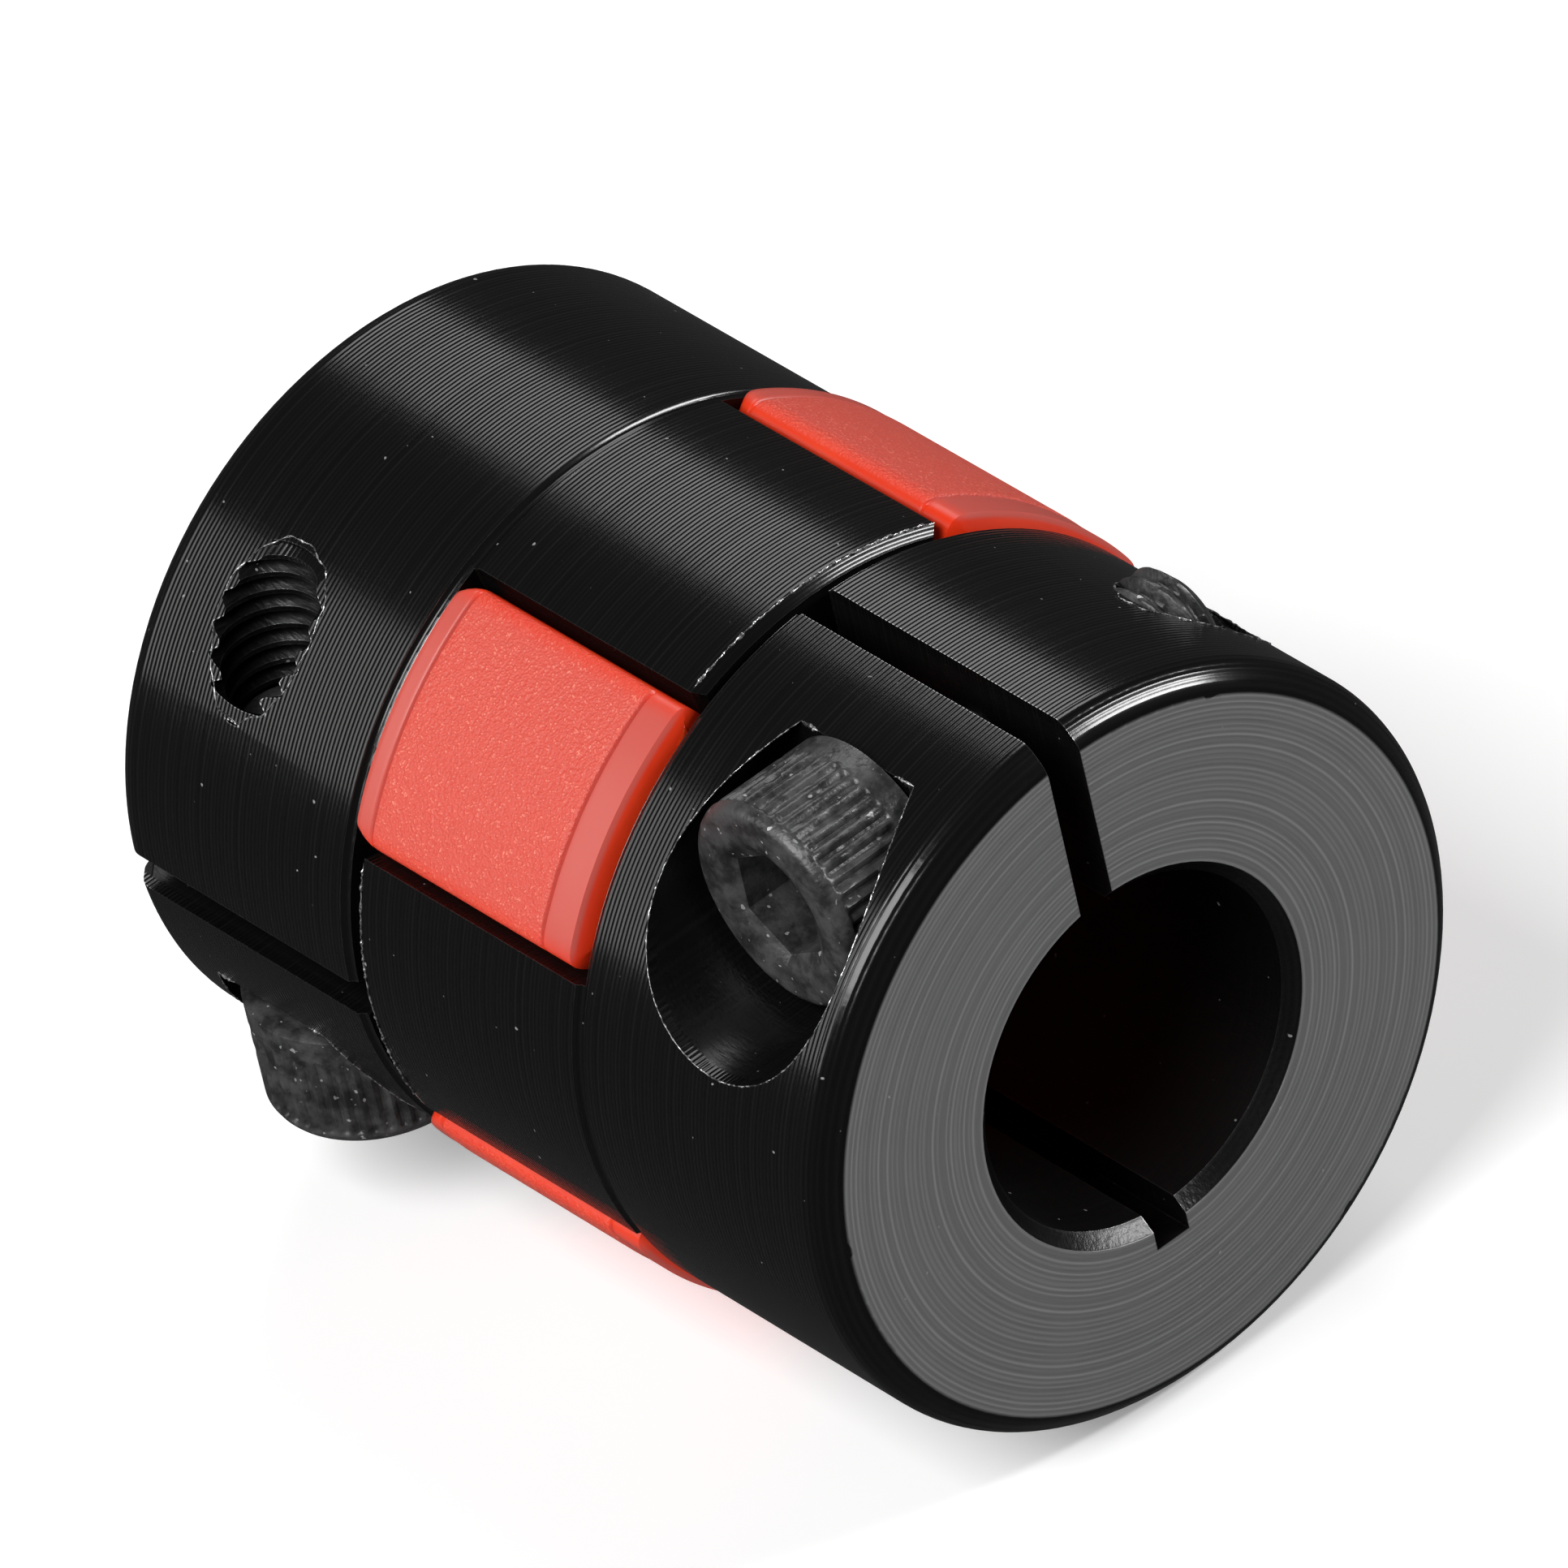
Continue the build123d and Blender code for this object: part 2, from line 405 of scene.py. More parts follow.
# %% Edge wear
edge_wear, g_in, g_out = group_tree(
    "edge_wear", {"Vector": None, "Reach": 0.0001, "Raggedness": 0.3}, ["Mask"])
rounded = edge_wear.nodes.new("ShaderNodeBevel")
rounded.samples = 4
edge_wear.links.new(g_in["Reach"], rounded.inputs["Radius"])
agree = edge_wear.nodes.new("ShaderNodeVectorMath")
agree.operation = "DOT_PRODUCT"
edge_wear.links.new(rounded.outputs[0], agree.inputs[0])
edge_wear.links.new(edge_wear.nodes.new("ShaderNodeNewGeometry").outputs["Normal"], agree.inputs[1])
turned = math(edge_wear, "SUBTRACT", 1.0, agree.outputs["Value"])
nibbles = noise(edge_wear, g_in["Vector"], 1500.0, 4.0, 0.7)
ragged = math(edge_wear, "MULTIPLY", nibbles, g_in["Raggedness"])
left_over = math(edge_wear, "SUBTRACT", turned, ragged)
edge_wear.links.new(step(edge_wear, left_over, 0.02, 0.12), g_out["Mask"])

# %% [markdown]
# A spark-eroded mould prints a sandy grain on the part, and an oxide bath leaves a grain of
# its own. A noise gives the grains, and small cells cut pits into it.

# %% Sandy grain
sand, g_in, g_out = group_tree("sandy_grain", {"Vector": None, "Size": 6000.0}, ["Height", "Glint"])
cells = sand.nodes.new("ShaderNodeTexVoronoi")
sand.links.new(g_in["Vector"], cells.inputs["Vector"])
sand.links.new(g_in["Size"], cells.inputs["Scale"])
rough_part = sand.nodes.new("ShaderNodeTexNoise")
rough_part.inputs["Detail"].default_value = 2.0
sand.links.new(g_in["Vector"], rough_part.inputs["Vector"])
sand.links.new(math(sand, "MULTIPLY", g_in["Size"], 0.6), rough_part.inputs["Scale"])
pits = math(sand, "MULTIPLY", cells.outputs["Distance"], 0.6)
grain = math(sand, "SUBTRACT", rough_part.outputs["Fac"], pits)
sand.links.new(grain, g_out["Height"])
# Glint marks the grain's peaks, where the spider's colour paints glints.
sand.links.new(step(sand, grain, 0.34, 0.5), g_out["Glint"])
print("shared finishes:", [g.name for g in bpy.data.node_groups])

# %% [markdown]
# ## Black anodised hubs
#
# The hubs keep their CAD meshes. One material gives each zone its own tool marks, found from
# how far a point is from the shaft axis and along it: lines 0.2 mm apart round the outside,
# deeper rings on the end face, a smooth rim between them, and a matt milled finish in the
# pocket and bore.

# %% Pitch and depth of the tool marks, in mm
line_pitch, line_deep = 0.2, 0.010
ring_pitch, ring_deep = 0.21, 0.022
milled_deep, skin_deep = 0.02, 0.0015
rim_wide = 1.3

# %% Colours of the hubs
# The lighter black is painted groove shading: each groove's crest is painted a little lighter than its
# trough, for the light and dark that the lathe lines catch.
body_dark, body_groove_painted_light = (0.003, 0.003, 0.003), (0.006, 0.006, 0.006)
# The end face's greys are partly a painted sheen for the light that its coarse turned rings scatter. They
# alternate ring by ring as painted ring shading.
end_sheen_dark, end_sheen_light = (0.115, 0.115, 0.116), (0.195, 0.195, 0.197)
bare_metal, dust_grey = (0.45, 0.45, 0.46), (0.25, 0.25, 0.25)

# %% Anodised finish
anodised, tree, shader, coordinates = new_material("black_anodised")
radius, along = radius_and_x(tree, coordinates)
reach = math(tree, "ABSOLUTE", along)
on_outside = step(tree, radius, (outer_r - 0.55) * MM, (outer_r - 0.35) * MM)
corner = math(tree, "ADD", radius, reach)
rim_sum = outer_r + end_x - rim_wide
on_rim = step(tree, corner, (rim_sum - 0.05) * MM, (rim_sum + 0.05) * MM)
on_end = step(tree, reach, (end_x - 0.04) * MM, (end_x - 0.01) * MM)
in_bore = math(tree, "SUBTRACT", 1.0, step(tree, radius, (bore_r + 0.02) * MM, (bore_r + 0.1) * MM))
turned_skin = math(tree, "MAXIMUM", math(tree, "MAXIMUM", on_outside, on_end), on_rim)
in_pocket = math(tree, "SUBTRACT", 1.0, turned_skin)
outside_lines = place_group(
    tree, lathe, Vector=coordinates, Feed=along, Pitch=line_pitch * MM, Wander=0.15)
end_rings = place_group(
    tree, lathe, Vector=coordinates, Feed=radius, Pitch=ring_pitch * MM, Wander=0.3)
chatter = noise(tree, coordinates, 420.0, 2.0)
milled = noise(tree, stretched(tree, coordinates, (1, 5, 5)), 1100.0, 4.0)
lines_there = math(tree, "MULTIPLY", outside_lines["Height"], on_outside)
rings_there = math(tree, "MULTIPLY", end_rings["Height"], on_end)
rings_there = math(tree, "MULTIPLY", rings_there, step(tree, chatter, 0.3, 0.6))
milled_there = math(tree, "MULTIPLY", milled, in_pocket)
height = math(tree, "MULTIPLY", lines_there, line_deep * MM)
height = math(tree, "MULTIPLY_ADD", rings_there, ring_deep * MM, height)
height = math(tree, "MULTIPLY_ADD", milled_there, milled_deep * MM, height)
height = math(tree, "MULTIPLY_ADD", milled, skin_deep * MM, height)
tree.links.new(bump(tree, height), shader.inputs["Normal"])

dust = place_group(tree, marks, Vector=coordinates, Size=2600.0, Threshold=0.79)["Mask"]
wear = place_group(tree, edge_wear, Vector=coordinates, Reach=0.07 * MM, Raggedness=0.3)["Mask"]
# Painted sheen on the end face: grey rather than black, darker and lighter ring by ring.
end_painted_sheen = mix_colour(tree, end_rings["Shade"], end_sheen_dark, end_sheen_light)
# Painted groove shading: the outside's black is painted lighter on each groove's crest.
body_black_groove_shaded = mix_colour(tree, outside_lines["Shade"], body_dark, body_groove_painted_light)
base = mix_colour(tree, on_end, body_black_groove_shaded, end_painted_sheen)
base = mix_colour(tree, wear, base, bare_metal)
tree.links.new(mix_colour(tree, dust, base, dust_grey), shader.inputs["Base Color"])
tree.links.new(wear, shader.inputs["Metallic"])
gloss = math(tree, "MULTIPLY_ADD", noise(tree, coordinates, 260.0), 0.08, 0.12)
gloss = math(tree, "MULTIPLY_ADD", math(tree, "MULTIPLY", outside_lines["Shade"], on_outside), 0.08, gloss)
gloss = math(tree, "MULTIPLY_ADD", on_end, 0.28, gloss)
gloss = math(tree, "MULTIPLY_ADD", in_pocket, 0.12, gloss)
gloss = math(tree, "MULTIPLY_ADD", in_bore, 0.1, gloss)
tree.links.new(gloss, shader.inputs["Roughness"])
shader.inputs["Specular IOR Level"].default_value = 0.5

for name in ("front_hub", "rear_hub"):
    hub = frame["nodes"][name]
    hub.data.materials.clear()
    hub.data.materials.append(anodised)
print("hubs finished in", anodised.name)

# %% [markdown]
# ## Clamp screws
#
# A cap screw is a turned profile, so its grid has stations from the tip's pole to the
# socket's pole, with the radius as a function of angle and height. The thread is a
# triangle wave of height over pitch minus angle over a full turn; the knurl is a wave round
# the head; and the socket's radius is a hexagon's: half its width over the cosine of the
# angle from the nearest flat. It stands for the CAD screw, which has only the thread's core.

# %% Sizes of an M5 cap screw, in mm
pitch = 0.8
thread_core, thread_crest = 2.06, 2.47
root_share, flank_share = 0.14, 0.7
thread_stop = 0.45
point_r, point_bevel = 1.75, 0.55
head_r, head_tall = 4.25, 5.0
rim_inset, rim_round = 0.05, 0.45
knurl_teeth, knurl_deep = 48, 0.13
knurl_low, knurl_high = 1.1, 4.5
lead_in_r, lead_in_deep, face_dip = 2.7, 0.33, 0.02
socket_half, socket_deep = 2.0, 2.5
columns_round = knurl_teeth * 5
rows_a_pitch = 11


# %% The screw's surface
def all_round(radii):
    """Rows whose radius is the same at every angle."""
    return np.repeat(np.asarray(radii)[:, None], columns_round, 1)


def screw_points(length):
    """Rows of points from tip to socket, about +Z with the bearing face at 0.

    The thread's radius is core + depth * tooth, where tooth rises and falls once a pitch and
    its phase goes back by one pitch a turn. The knurl takes up to knurl_deep off the head."""
    angle = np.linspace(0, 2 * pi, columns_round, endpoint=False)
    thread_rows = np.arange(-length + 0.02, -0.35, pitch / rows_a_pitch)
    away_from_tip = np.clip((thread_rows + length) / point_bevel, 0, 1)
    run_out = np.clip((-thread_stop - thread_rows) / pitch, 0, 1)
    phase = (thread_rows[:, None] / pitch - angle / (2 * pi)) % 1
    tooth = np.clip((1 - 2 * np.abs(phase - 0.5) - root_share) / flank_share, 0, 1)
    crest = thread_core + (thread_crest - thread_core) * run_out[:, None] * tooth
    limit = point_r + (thread_crest - point_r) * away_from_tip[:, None]
    thread = np.minimum(crest, limit)

    bearing_r = np.array([2.2, 2.32, 2.5, 3.2, 3.9, 4.02])
    bearing_z = np.array([-0.22, -0.08, 0.0, 0.0, 0.0, 0.03])
    side_z = np.concatenate([[0.12, 0.5, 0.9, 1.08, 1.14], np.linspace(1.2, 4.3, 26),
                             [4.36, 4.42, 4.48, 4.54]])
    in_knurl = np.clip((side_z - knurl_low) / 0.12, 0, 1) * np.clip((knurl_high - side_z) / 0.14, 0, 1)
    wave = np.clip(0.5 + 0.75 * np.cos(angle * knurl_teeth), 0, 1)
    chips = np.sin(angle * 13 + side_z[:, None] * 2.1) * np.sin(angle * 5 - side_z[:, None] * 3.7)
    worn = 1 + 0.3 * np.sin(angle * 3 + 0.7) * np.sin(angle * 7 + side_z[:, None] * 1.3)
    tops = wave - 0.45 * np.clip(chips - 0.35, 0, 1)
    side = head_r - knurl_deep * in_knurl[:, None] * (1 - tops) * worn

    rim_turn = np.linspace(0, pi / 2, 7)[1:]
    rim_r = head_r - rim_inset - rim_round * (1 - np.cos(rim_turn))
    rim_z = head_tall - rim_round * (1 - np.sin(rim_turn))
    face_r = np.array([3.4, 3.1, 2.85, lead_in_r])
    face_z = np.array([0, 0, 0, -face_dip]) + head_tall
    from_flat = (angle + pi / 6) % (pi / 3) - pi / 6
    hexagon = socket_half / np.cos(from_flat)
    lead = np.linspace(0, 1, 4)[1:, None]
    lead_r = lead_in_r + (hexagon - lead_in_r) * lead
    lead_z = head_tall - face_dip - lead_in_deep * lead[:, 0]
    wall_z = head_tall - socket_deep * np.array([0.24, 0.48, 0.76, 0.98, 1])
    wall = np.repeat(hexagon[None], 5, 0) * np.array([1, 1, 1, 1, 0.97])[:, None]
    drill_r = np.array([1.5, 0.8, 0.15])
    drill_z = head_tall - socket_deep - np.array([0.05, 0.4, 0.75])

    tip_r, tip_z = np.array([0.3, 1.0, 1.6]), np.full(3, -length)
    r = np.concatenate([all_round(tip_r), thread, all_round(bearing_r), side, all_round(rim_r),
                        all_round(face_r), lead_r, wall, all_round(drill_r)])
    z = np.concatenate([tip_z, thread_rows, bearing_z, side_z, rim_z, face_z, lead_z, wall_z, drill_z])
    return np.stack([r * np.cos(angle), r * np.sin(angle), np.repeat(z[:, None], columns_round, 1)], -1)


def stood(points, origin, axis, side):
    """The points turned so that local +Z is axis and +X is side, with local zero at origin."""
    across = np.cross(axis, side)
    return points @ np.array([side, across, axis], float) + np.asarray(origin)


# %% [markdown]
# ## Black-oxide steel
#
# The oxide is dark grey, a little blotchy, and rubbed brighter on the knurl and rim. Blotches
# are slow noise. The rubbed places come from the same edge wear as the hubs, with a longer
# reach, because the knurl's ridges are blunt.

# %% Colours of the oxide
oxide_dark, oxide_light = (0.030, 0.030, 0.031), (0.095, 0.095, 0.097)
rubbed_steel, fleck_grey = (0.30, 0.30, 0.30), (0.4, 0.4, 0.4)

# %% Oxide finish
oxide, tree, shader, coordinates = new_material("black_oxide")
blotch = noise(tree, coordinates, 900.0, 4.0, 0.65)
fleck = place_group(tree, marks, Vector=coordinates, Size=3000.0, Threshold=0.72)["Mask"]
grain_out = place_group(tree, sand, Vector=coordinates, Size=5200.0)
wear = place_group(tree, edge_wear, Vector=coordinates, Reach=0.10 * MM, Raggedness=0.35)["Mask"]
base = mix_colour(tree, step(tree, blotch, 0.35, 0.65), oxide_dark, oxide_light)
base = mix_colour(tree, wear, base, rubbed_steel)
tree.links.new(mix_colour(tree, fleck, base, fleck_grey), shader.inputs["Base Color"])
tree.links.new(math(tree, "MULTIPLY_ADD", blotch, 0.35, 0.18), shader.inputs["Roughness"])
tree.links.new(math(tree, "MULTIPLY_ADD", wear, 0.5, 0.4), shader.inputs["Metallic"])
height = math(tree, "MULTIPLY", grain_out["Height"], 0.015 * MM)
height = math(tree, "MULTIPLY_ADD", blotch, 0.05 * MM, height)
tree.links.new(bump(tree, height), shader.inputs["Normal"])


def make_screw(name, node, body, axis):
    """Screw on the CAD screw's own axis: its head's face and its tip are the box's two ends."""
    low, high = (np.array(corner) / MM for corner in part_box(node))
    axis = np.array(axis, float)
    ends = np.stack([low @ axis * axis, high @ axis * axis])
    head_end, tip_end = (ends[1], ends[0]) if ends[1] @ axis > ends[0] @ axis else (ends[0], ends[1])
    centre = (low + high) / 2 * (1 - np.abs(axis))
    origin = centre + head_end - axis * head_tall
    length = (head_end - tip_end) @ axis - head_tall
    piece = grid_piece(name, [stood(screw_points(length), origin, axis, (1, 0, 0))])
    piece.data.materials.append(oxide)
    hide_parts(node)
    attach(piece, body)
    print(f"{name}: {length:.1f} mm under the head")


make_screw("front_cap_screw", "front_clamp_screw", "front_screw", (0, -1, 0))
make_screw("rear_cap_screw", "rear_clamp_screw", "rear_screw", (0, 0, -1))

# %% [markdown]
# ## Burrs
#
# Cutters leave a thin torn lip where they break out through the turned outside. Each lip is
# a bead along the edge it follows: a small ring of points is carried along the edge's line,
# and its radius wavers, so the lip comes and goes. All the beads of one hub are one mesh.

# %% Carry a wavering bead along a line
bead_sides = 6
knot_gap = 0.12
pinch = 0.3
random = np.random.default_rng(7)


def bead_points(line, thin, thick):
    """Rows of points round the line; the radius runs between random knots, and is pinched at the ends."""
    ahead = np.gradient(line, axis=0)
    ahead /= np.linalg.norm(ahead, axis=1)[:, None]
    outward = line * (0, 1, 1)
    outward -= ahead * (outward * ahead).sum(1)[:, None]
    outward /= np.linalg.norm(outward, axis=1)[:, None]
    aside = np.cross(ahead, outward)
    run = np.concatenate([[0], np.cumsum(np.linalg.norm(np.diff(line, axis=0), axis=1))])
    knots = int(run[-1] / knot_gap) + 4
    bumps = random.random((3, knots)) ** 2
    waver, lift, shift = (np.interp(run, np.linspace(0, run[-1], knots), row) for row in bumps)
    radius = thin + (thick - thin) * waver
    radius *= np.clip(run / pinch, 0.05, 1) * np.clip((run[-1] - run) / pinch, 0.05, 1)
    spin = np.arange(bead_sides) * 2 * pi / bead_sides
    ring = outward[:, None] * np.cos(spin)[None, :, None] + aside[:, None] * np.sin(spin)[None, :, None]
    middle = line + outward * (lift * thin)[:, None] + aside * ((shift - 0.3) * thick * 0.5)[:, None]
    return middle[:, None] + ring * radius[:, None, None]


def even_line(points, gap=0.05):
    """The same line with points every gap."""
    run = np.concatenate([[0], np.cumsum(np.linalg.norm(np.diff(points, axis=0), axis=1))])
    steps = np.linspace(0, run[-1], int(run[-1] / gap))
    return np.stack([np.interp(steps, run, points[:, k]) for k in range(3)], -1)


# %% The lines that the burrs follow, on the front hub, in mm
screw_box_low, screw_box_high = (np.array(c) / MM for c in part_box("front_clamp_screw"))
screw_x, screw_z = ((screw_box_low + screw_box_high) / 2)[[0, 2]]
head_face_y = screw_box_low[1]
seat_y = head_face_y + head_tall
pocket_r, tapped_r = 4.9, 2.45
jaw_half, jaw_edge = radians(23), 0.35
jaw_tip_x = hub_low.x / MM + jaw_edge
head_clear = 0.2
pocket_lip, tapped_lip = (0.012, 0.05), (0.012, 0.06)
seat_lip, jaw_lip = (0.03, 0.13), (0.02, 0.09)


def on_skin(x, z, side):
    """Points on the outside cylinder over x and z, at the -Y side or the +Y side."""
    return np.stack([x, side * np.sqrt(outer_r ** 2 - z ** 2), z], -1)


def hub_edges():
    """Lines in the front hub's frame, each with the bead's least and greatest radius: the
    pocket's round edge, the edge over its seat on both sides of the screw's head, the tapped
    hole, and the two jaws' tips."""
    seat_z = sqrt(outer_r ** 2 - seat_y ** 2)
    rise = np.arcsin((seat_z - screw_z) / pocket_r)
    round_pocket = np.linspace(pi - rise, 2 * pi + rise, 240)
    pocket_x = screw_x + pocket_r * np.cos(round_pocket)
    pocket = on_skin(pocket_x, screw_z + pocket_r * np.sin(round_pocket), -1)
    head_half = sqrt(head_r ** 2 - (seat_z - screw_z) ** 2) + head_clear
    across = np.linspace(head_half, pocket_r * np.cos(rise), 40)
    seats = [np.stack([screw_x + side * across, np.full(40, seat_y), np.full(40, seat_z)], -1)
             for side in (-1, 1)]
    turn = np.linspace(0.3, 2 * pi + 0.2, 160)
    reach = tapped_r + 0.08 * np.sin(turn * 9) * np.sin(turn * 4)
    tapped = on_skin(screw_x + reach * np.cos(turn), screw_z + reach * np.sin(turn), 1)
    lines = [(pocket, *pocket_lip), (tapped, *tapped_lip)]
    lines += [(seat, *seat_lip) for seat in seats]
    for jaw in (0, pi):
        tip = jaw + np.linspace(-1, 1, 160) * jaw_half * 0.97
        arc = np.stack([np.full(160, jaw_tip_x), outer_r * np.cos(tip), outer_r * np.sin(tip)], -1)
        lines.append((arc, *jaw_lip))
    return lines


def to_rear(points):
    """The rear hub's frame: mirrored end for end, then a quarter turn about the shaft."""
    return np.stack([-points[..., 0], -points[..., 2], points[..., 1]], -1)


# %% Make the burrs of both hubs
burred, tree, shader, coordinates = new_material("burred_edge")
glint = step(tree, noise(tree, coordinates, 2400.0, 3.0, 0.7), 0.42, 0.62)
dull_lip, bright_lip = (0.02, 0.02, 0.02), (0.75, 0.75, 0.76)
tree.links.new(mix_colour(tree, glint, dull_lip, bright_lip), shader.inputs["Base Color"])
tree.links.new(glint, shader.inputs["Metallic"])
tree.links.new(math(tree, "MULTIPLY_ADD", glint, -0.15, 0.35), shader.inputs["Roughness"])


def make_burrs(name, body, turn):
    """One mesh of all the beads on a hub; turn takes the front hub's frame to this hub's."""
    beads = [bead_points(turn(even_line(line)), thin, thick) for line, thin, thick in hub_edges()]
    piece = grid_piece(name, beads, sharp=60)
    piece.data.materials.append(burred)
    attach(piece, body)


make_burrs("front_hub_burrs", "front_hub", np.asarray)
make_burrs("rear_hub_burrs", "rear_hub", to_rear)

# %% [markdown]
# ## The spider
#
# The spider is one moulding: a ring with four lobes. Its outline round the shaft is worked
# out once as a closed line, evenly spaced and softened, so that every corner is round. The
# surface then runs from the hole's wall over one end, along the outside and back over the
# other end. Near the ends the outline draws in, which makes the lobes' bevelled ends.

# %% The outline round the shaft, in mm
ring_r, hole_r = 8.0, 5.25
flank_bow = 0.35
outline_gap = 0.2
edge_softness = 0.42
stretch_points = 40


def soften(values, width):
    """Closed line averaged with a bell curve of the given width in points."""
    count = len(values)
    offset = np.minimum(np.arange(count), count - np.arange(count))
    bell = np.exp(-0.5 * (offset / width) ** 2)
    kernel = np.fft.fft(bell / bell.sum())[:, None]
    return np.real(np.fft.ifft(np.fft.fft(values, axis=0) * kernel, axis=0))


def spider_outline():
    """Closed outline of ring and lobes: each quarter is ring arc, flank, lobe arc, flank, ring arc."""
    share = np.linspace(0, 1, stretch_points, endpoint=False)
    flank_r = ring_r + (lobe_r - ring_r) * share
    flank_a = lobe_half + flank_bow * np.sin(pi * share) / flank_r
    ring, lobe = np.full(stretch_points, ring_r), np.full(stretch_points, lobe_r)
    quarter_r = np.concatenate([ring, flank_r, lobe, flank_r[::-1], ring])
    quarter_a = np.concatenate([-pi / 4 + (pi / 4 - lobe_half) * share, -flank_a,
                                (2 * share - 1) * lobe_half, flank_a[::-1],
                                lobe_half + (pi / 4 - lobe_half) * share])
    r = np.tile(quarter_r, 4)
    a = (quarter_a + pi / 4 + np.arange(4)[:, None] * pi / 2).ravel()
    line = np.stack([r * np.cos(a), r * np.sin(a)], -1)
    step_long = np.linalg.norm(np.roll(line, -1, 0) - line, axis=1)
    run = np.concatenate([[0], np.cumsum(step_long)])
    closed = np.concatenate([line, line[:1]])
    even = np.linspace(0, run[-1], int(run[-1] / outline_gap), endpoint=False)
    even_points = np.stack([np.interp(even, run, closed[:, k]) for k in (0, 1)], -1)
    return soften(even_points, edge_softness / outline_gap)


# %% The spider's surface
parting_x = (-5.2, 4.35)
parting_wide, parting_deep = 0.065, 0.14
front_bevel, rear_bevel = (0.40, 0.95), (0.25, 0.45)
front_corner, rear_corner = 0.45, 1.15
panel_proud = 0.035
end_inset = 1.3
hole_lead = 0.3
bevel_rows, face_rows, wall_rows = 6, 25, 6


def ease(share):
    """Smooth rise from 0 to 1."""
    share = np.clip(share, 0, 1)
    return share * share * (3 - 2 * share)


def spider_points():
    """Rows along x outside, then over the front end, back through the hole and over the rear end.

    A row is the outline moved three ways: out by the panel and in by the parting lines, in
    along its normal by the ends' bevels, and sideways at the lobes' flanks by the rounded
    corners, as far as a circle of the corner's radius falls away from its tangent."""
    outline = spider_outline()
    along = np.roll(outline, -1, 0) - np.roll(outline, 1, 0)
    normal = np.stack([along[:, 1], -along[:, 0]], -1) / np.linalg.norm(along, axis=1)[:, None]
    reach = np.linalg.norm(outline, axis=1)
    unit = outline / reach[:, None]
    angle = np.arctan2(outline[:, 1], outline[:, 0]) % (pi / 2) - pi / 4
    lobe_share = ease((reach - ring_r - 0.2) / 0.8)
    on_rim = np.clip((reach - lobe_r + 0.4) / 0.3, 0, 1)
    flank = np.clip(angle / lobe_half, -1, 1)
    sideways = np.stack([-unit[:, 1], unit[:, 0]], -1) * (-flank * np.abs(flank) ** 5 * lobe_share)[:, None]

    def corner_cut(x):
        """How far a lobe's flank stands back at x."""
        cut = np.zeros_like(x)
        for sign, size in ((1, front_corner), (-1, rear_corner)):
            into = np.clip((sign * x - spider_x + size) / size, 0, 1)
            cut += size * (1 - np.sqrt(1 - into ** 2))
        return cut

    groove_rows = np.array([-0.16, -0.1, -0.05, 0, 0.05, 0.1, 0.16])
    x = np.concatenate([np.linspace(-spider_x + rear_bevel[0], spider_x - front_bevel[0], 60)]
                       + [groove_rows + p for p in parting_x])
    x = np.unique(np.round(x, 4))
    groove = sum(np.exp(-((x - p) / parting_wide) ** 2) for p in parting_x)
    panel = np.clip((x - parting_x[0]) / 0.2, 0, 1) * np.clip((parting_x[1] - x) / 0.2, 0, 1)
    lift = (panel_proud * panel - parting_deep * groove)[:, None] * on_rim
    plain = outline + normal * lift[..., None] + sideways * corner_cut(x)[:, None, None]
    outside_x = np.repeat(x[:, None], len(outline), 1)
    limit = spider_x - end_inset * (1 - lobe_share)
    outside = np.concatenate([np.clip(outside_x, -limit, limit)[..., None], plain], -1)

    def end_rows(sign, bevel):
        """From the outside edge over the bevel and the end face to the hole."""
        t = np.linspace(0, 1, bevel_rows + 1)[1:]
        edge_x = spider_x - bevel[0] * (1 - t)
        cut = corner_cut(sign * edge_x)[:, None, None]
        bevel_in = outline - normal * (bevel[1] * t ** 1.25)[:, None, None] + sideways * cut
        face = np.linspace(0, 1, face_rows + 1)[1:, None, None]
        face_line = bevel_in[-1] * (1 - face) + unit * (hole_r + hole_lead) * face
        lines = np.concatenate([bevel_in, face_line])
        flat_x = np.concatenate([edge_x, np.full(face_rows, spider_x)])[:, None]
        ring_face = spider_x - end_inset
        raised = ease((np.linalg.norm(lines, axis=2) - ring_r + 0.05) / 0.5)
        xs = np.minimum(flat_x, ring_face + (spider_x - ring_face) * raised)
        chamfer = np.stack([unit * (hole_r + 0.12), unit * hole_r])
        chamfer_x = np.array([ring_face - 0.06, ring_face - hole_lead])[:, None]
        chamfer_x = np.repeat(chamfer_x, len(outline), 1)
        lines, xs = np.concatenate([lines, chamfer]), np.concatenate([xs, chamfer_x])
        return np.concatenate([sign * xs[..., None], lines], -1)

    front, rear = end_rows(1, front_bevel), end_rows(-1, rear_bevel)[::-1]
    wall_half = spider_x - end_inset - hole_lead
    wall_x = np.linspace(1, -1, wall_rows + 2)[1:-1, None] * np.full(len(outline), wall_half)
    wall = np.concatenate([wall_x[..., None], np.repeat((unit * hole_r)[None], wall_rows, 0)], -1)
    return np.concatenate([outside, front, wall, rear])


spider = grid_piece("spider_moulding", [spider_points()], ring=True, sharp=50)
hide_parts("spider")
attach(spider, "spider")

# %% [markdown]
# ## Red polyurethane
#
# The elastomer is slightly see-through: light goes in and comes out nearby, so thin edges
# glow. The lobes' middles carry the mould's sandy grain between two parting lines, and the
# bands outside them are smooth and a little duller. The grain's bright specks are painted
# glints, and the colour deepens towards each lobe's flanks as painted shade.

# %% Colours of the elastomer
deep_low, deep_high = (0.78, 0.035, 0.006), (0.84, 0.050, 0.010)
smooth_band = (0.60, 0.100, 0.078)
# The lighter grain colour is a painted glint, for the sparkle of light off the peaks of the sand.
grain_low, grain_painted_glint = (0.70, 0.090, 0.062), (0.90, 0.23, 0.16)

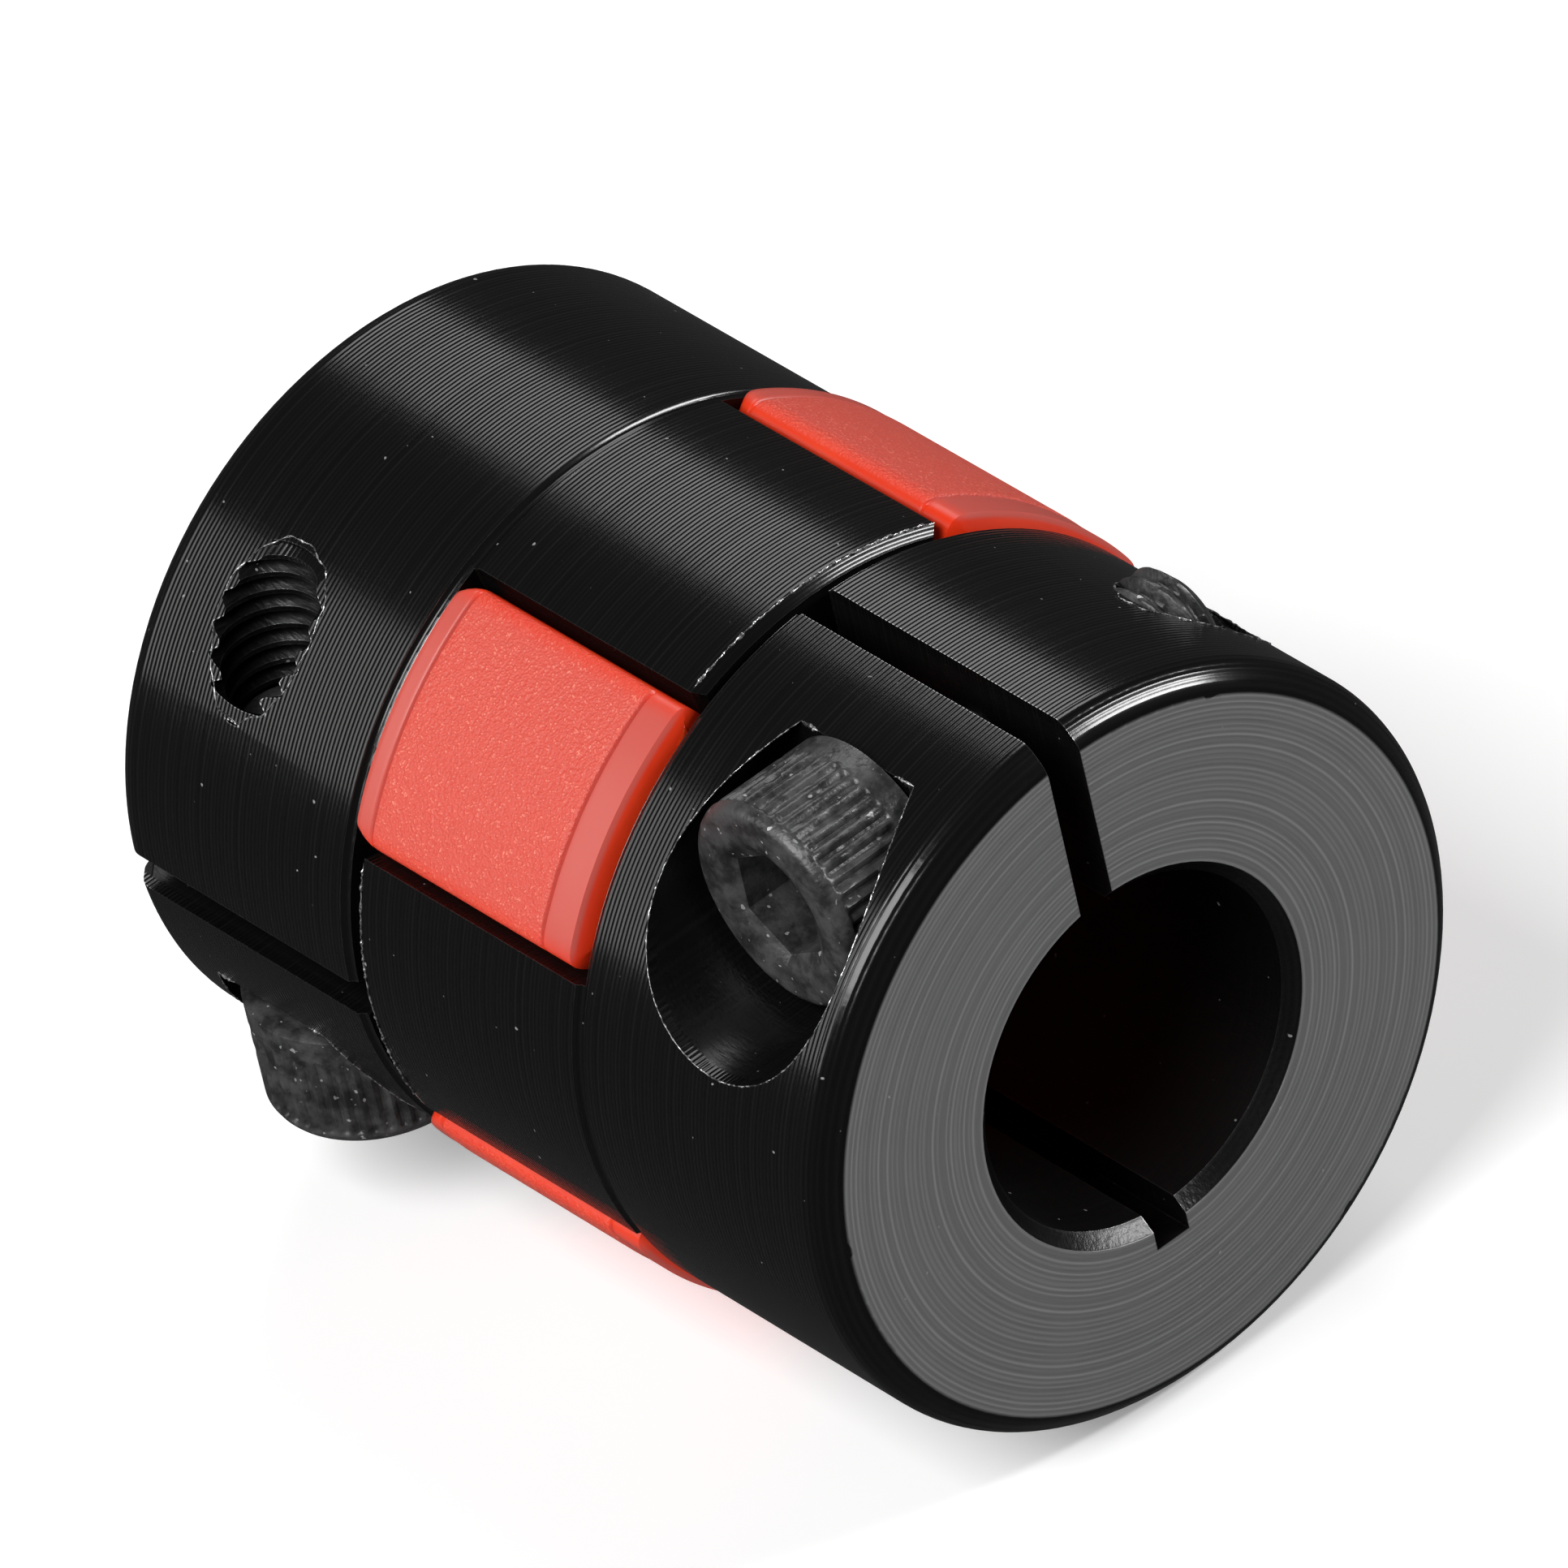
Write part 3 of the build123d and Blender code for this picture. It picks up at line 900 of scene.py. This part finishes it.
# %% Elastomer finish
elastomer, tree, shader, coordinates = new_material("red_polyurethane")
radius, along = radius_and_x(tree, coordinates)
ragged = math(tree, "MULTIPLY_ADD", noise(tree, coordinates, 1800.0), 0.12 * MM, -0.06 * MM)
ragged_x = math(tree, "ADD", along, ragged)
past_rear = step(tree, ragged_x, (parting_x[0] + 0.02) * MM, (parting_x[0] + 0.12) * MM)
past_front = step(tree, ragged_x, (parting_x[1] - 0.12) * MM, (parting_x[1] - 0.02) * MM)
on_rim = step(tree, radius, (lobe_r - 0.3) * MM, (lobe_r - 0.1) * MM)
sanded = math(tree, "MULTIPLY", math(tree, "SUBTRACT", past_rear, past_front), on_rim)
grain_out = place_group(tree, sand, Vector=coordinates, Size=9000.0)
cloud = noise(tree, coordinates, 220.0, 2.0)
split = tree.nodes.new("ShaderNodeSeparateXYZ")
tree.links.new(coordinates, split.inputs[0])
clock = math(tree, "ARCTAN2", split.outputs["Z"], split.outputs["Y"])
in_quarter = math(tree, "FLOORED_MODULO", clock, pi / 2)
off_centre = math(tree, "ABSOLUTE", math(tree, "SUBTRACT", in_quarter, pi / 4))
# Painted shade: towards each lobe's flanks the colour turns to the deep red, standing in for the jaw's
# shadow and the flank rounding away from the light.
painted_flank_shade = step(tree, off_centre, lobe_half * 0.80, lobe_half * 1.02)
deep = mix_colour(tree, step(tree, cloud, 0.3, 0.7), deep_low, deep_high)
band = mix_colour(tree, on_rim, deep, smooth_band)
# Painted glints: the grain's peaks take the lighter colour.
panel = mix_colour(tree, grain_out["Glint"], grain_low, grain_painted_glint)
outside = mix_colour(tree, sanded, band, panel)
# The painted flank shade goes four fifths of the way to the deep red.
flank_share = math(tree, "MULTIPLY", painted_flank_shade, 0.8)
tree.links.new(mix_colour(tree, flank_share, outside, deep), shader.inputs["Base Color"])
tree.links.new(math(tree, "MULTIPLY_ADD", sanded, 0.12, 0.34), shader.inputs["Roughness"])
shader.inputs["Subsurface Weight"].default_value = 0.3
shader.inputs["Subsurface Radius"].default_value = (1.0, 0.25, 0.12)
shader.inputs["Subsurface Scale"].default_value = 0.7 * MM
shader.inputs["Specular IOR Level"].default_value = 0.5
height = math(tree, "MULTIPLY", math(tree, "MULTIPLY", grain_out["Height"], sanded), 0.06 * MM)
height = math(tree, "MULTIPLY_ADD", noise(tree, coordinates, 700.0), 0.02 * MM, height)
tree.links.new(bump(tree, height), shader.inputs["Normal"])
spider.data.materials.append(elastomer)
